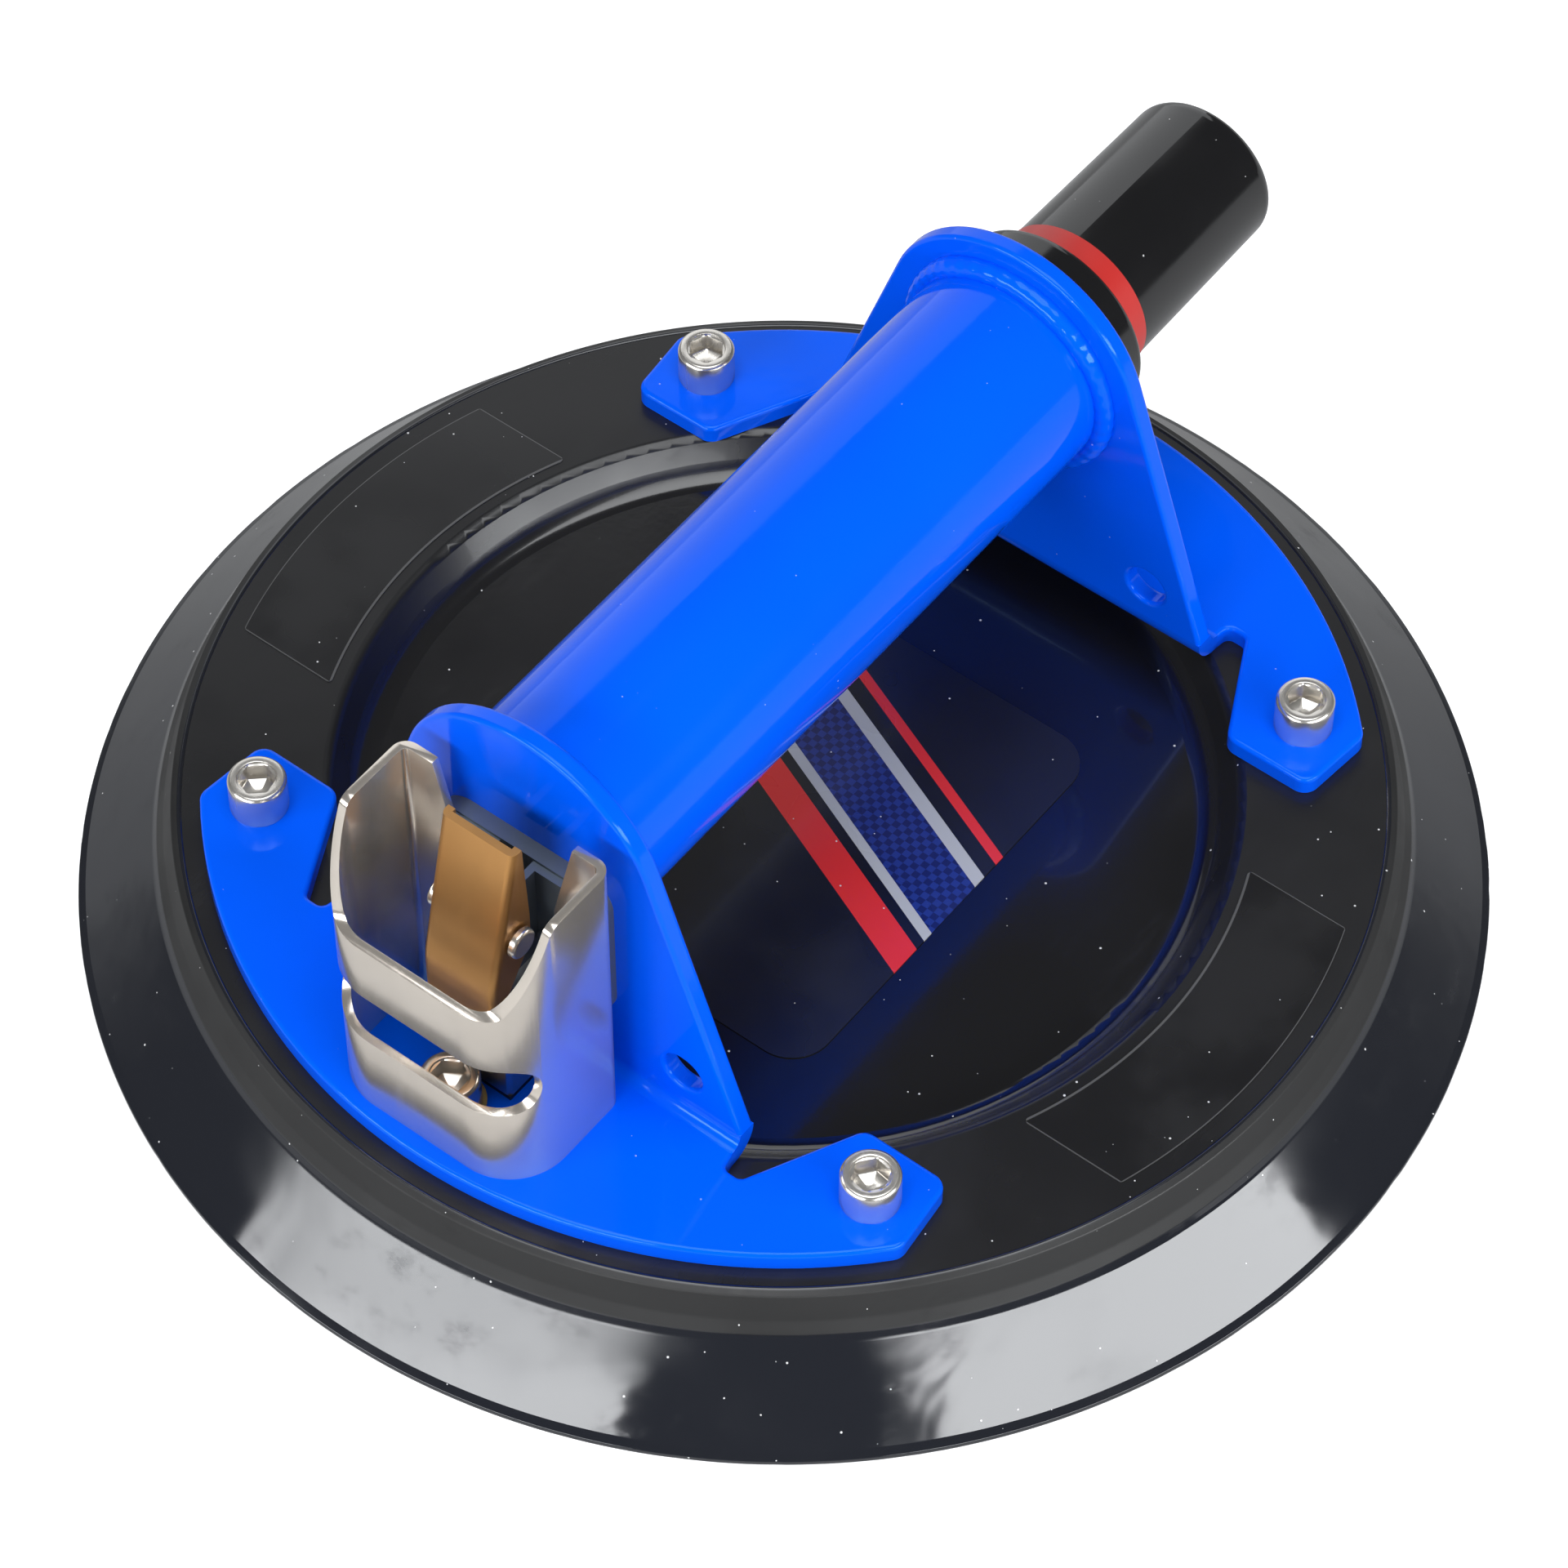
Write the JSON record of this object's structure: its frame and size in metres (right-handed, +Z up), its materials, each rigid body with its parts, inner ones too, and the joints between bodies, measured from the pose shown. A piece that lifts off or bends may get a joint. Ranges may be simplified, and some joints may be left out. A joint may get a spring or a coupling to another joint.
{
  "type": "suction cup lifter",
  "caption": "Hand vacuum lifter: round rubber pad on a dished plate, tubular grip with a built-in plunger pump, and a guarded release lever.",
  "frame": {"origin": "centre of the rubber pad's underside, on the plane of its sealing ring", "axes": "+Z up, away from the lifted surface; +X along the grip from the release lever to the pump knob; +Y across the grip, to the left when looking along +X"},
  "size_m": [0.21, 0.21, 0.0853],
  "materials": {
    "plate_coat": "satin black coat, glossy in the dish",
    "pad_rubber": "black, glossy flange and matte bead",
    "seal_rubber": "black",
    "blue_coat": "glossy blue powder coat",
    "screw_plate": "bright nickel plate",
    "steel": "plain steel",
    "brass": "plain brass",
    "lever_brass": "satin brass",
    "zinc": "bluish zinc plate",
    "stainless": "polished stainless steel",
    "aluminium": "plain aluminium",
    "black_gloss": "glossy black",
    "inner_plastic": "dark grey",
    "ring_red": "red",
    "felt": "pale felt",
    "film_print": "printed film, black with slanting stripes",
    "film_dark": "plain dark film with a thin pale edge"
  },
  "bodies": {
    "base": {"backing_plate": "plate_coat", "rubber_pad": "pad_rubber", "valve_bracket": "blue_coat", "pump_bracket": "blue_coat", "grip_tube": "blue_coat", "valve_end_weld": "blue_coat", "pump_end_weld": "blue_coat", "pad_screws": "screw_plate", "center_screws": "screw_plate", "center_washers": "brass", "pad_nuts": "steel", "guide_collar": "black_gloss", "pump_barrel": "aluminium", "pump_spring": "steel", "barrel_plug": "inner_plastic", "plug_seal": "seal_rubber", "inlet_valve_disc": "seal_rubber", "vacuum_elbow": "brass", "vacuum_hose": "seal_rubber", "port_washer": "steel", "port_nut": "brass", "port_filter": "felt", "valve_base_plate": "zinc", "hinge_cheek_left": "zinc", "hinge_cheek_right": "zinc", "hinge_rivets": "zinc", "lever_pin": "screw_plate", "vent_gasket": "seal_rubber", "vent_block": "aluminium", "vent_block_screws": "steel", "lever_guard": "stainless", "center_label": "film_print", "rim_film_left": "film_dark", "rim_film_right": "film_dark"},
    "plunger": {"plunger_knob": "black_gloss", "indicator_ring": "ring_red", "piston": "inner_plastic", "piston_seal": "seal_rubber"},
    "lever": {"release_lever": "lever_brass", "lever_spring": "steel", "valve_seal": "seal_rubber"}
  },
  "joints": [
    {"name": "plunger_slide", "type": "slide", "parent": "base", "child": "plunger", "axis": [-1, 0, 0], "range_m": [0, 0.036], "stiffness_N_per_m": 400, "springref_m": -0.012, "deforming": ["pump_spring"]},
    {"name": "release_lever_hinge", "type": "hinge", "parent": "base", "child": "lever", "pos_m": [-0.0672, 0, 0.0575], "axis": [0, 1, 0], "range_deg": [0, 15], "stiffness_Nm_per_rad": 0.2, "springref_deg": -14.32}
  ]
}
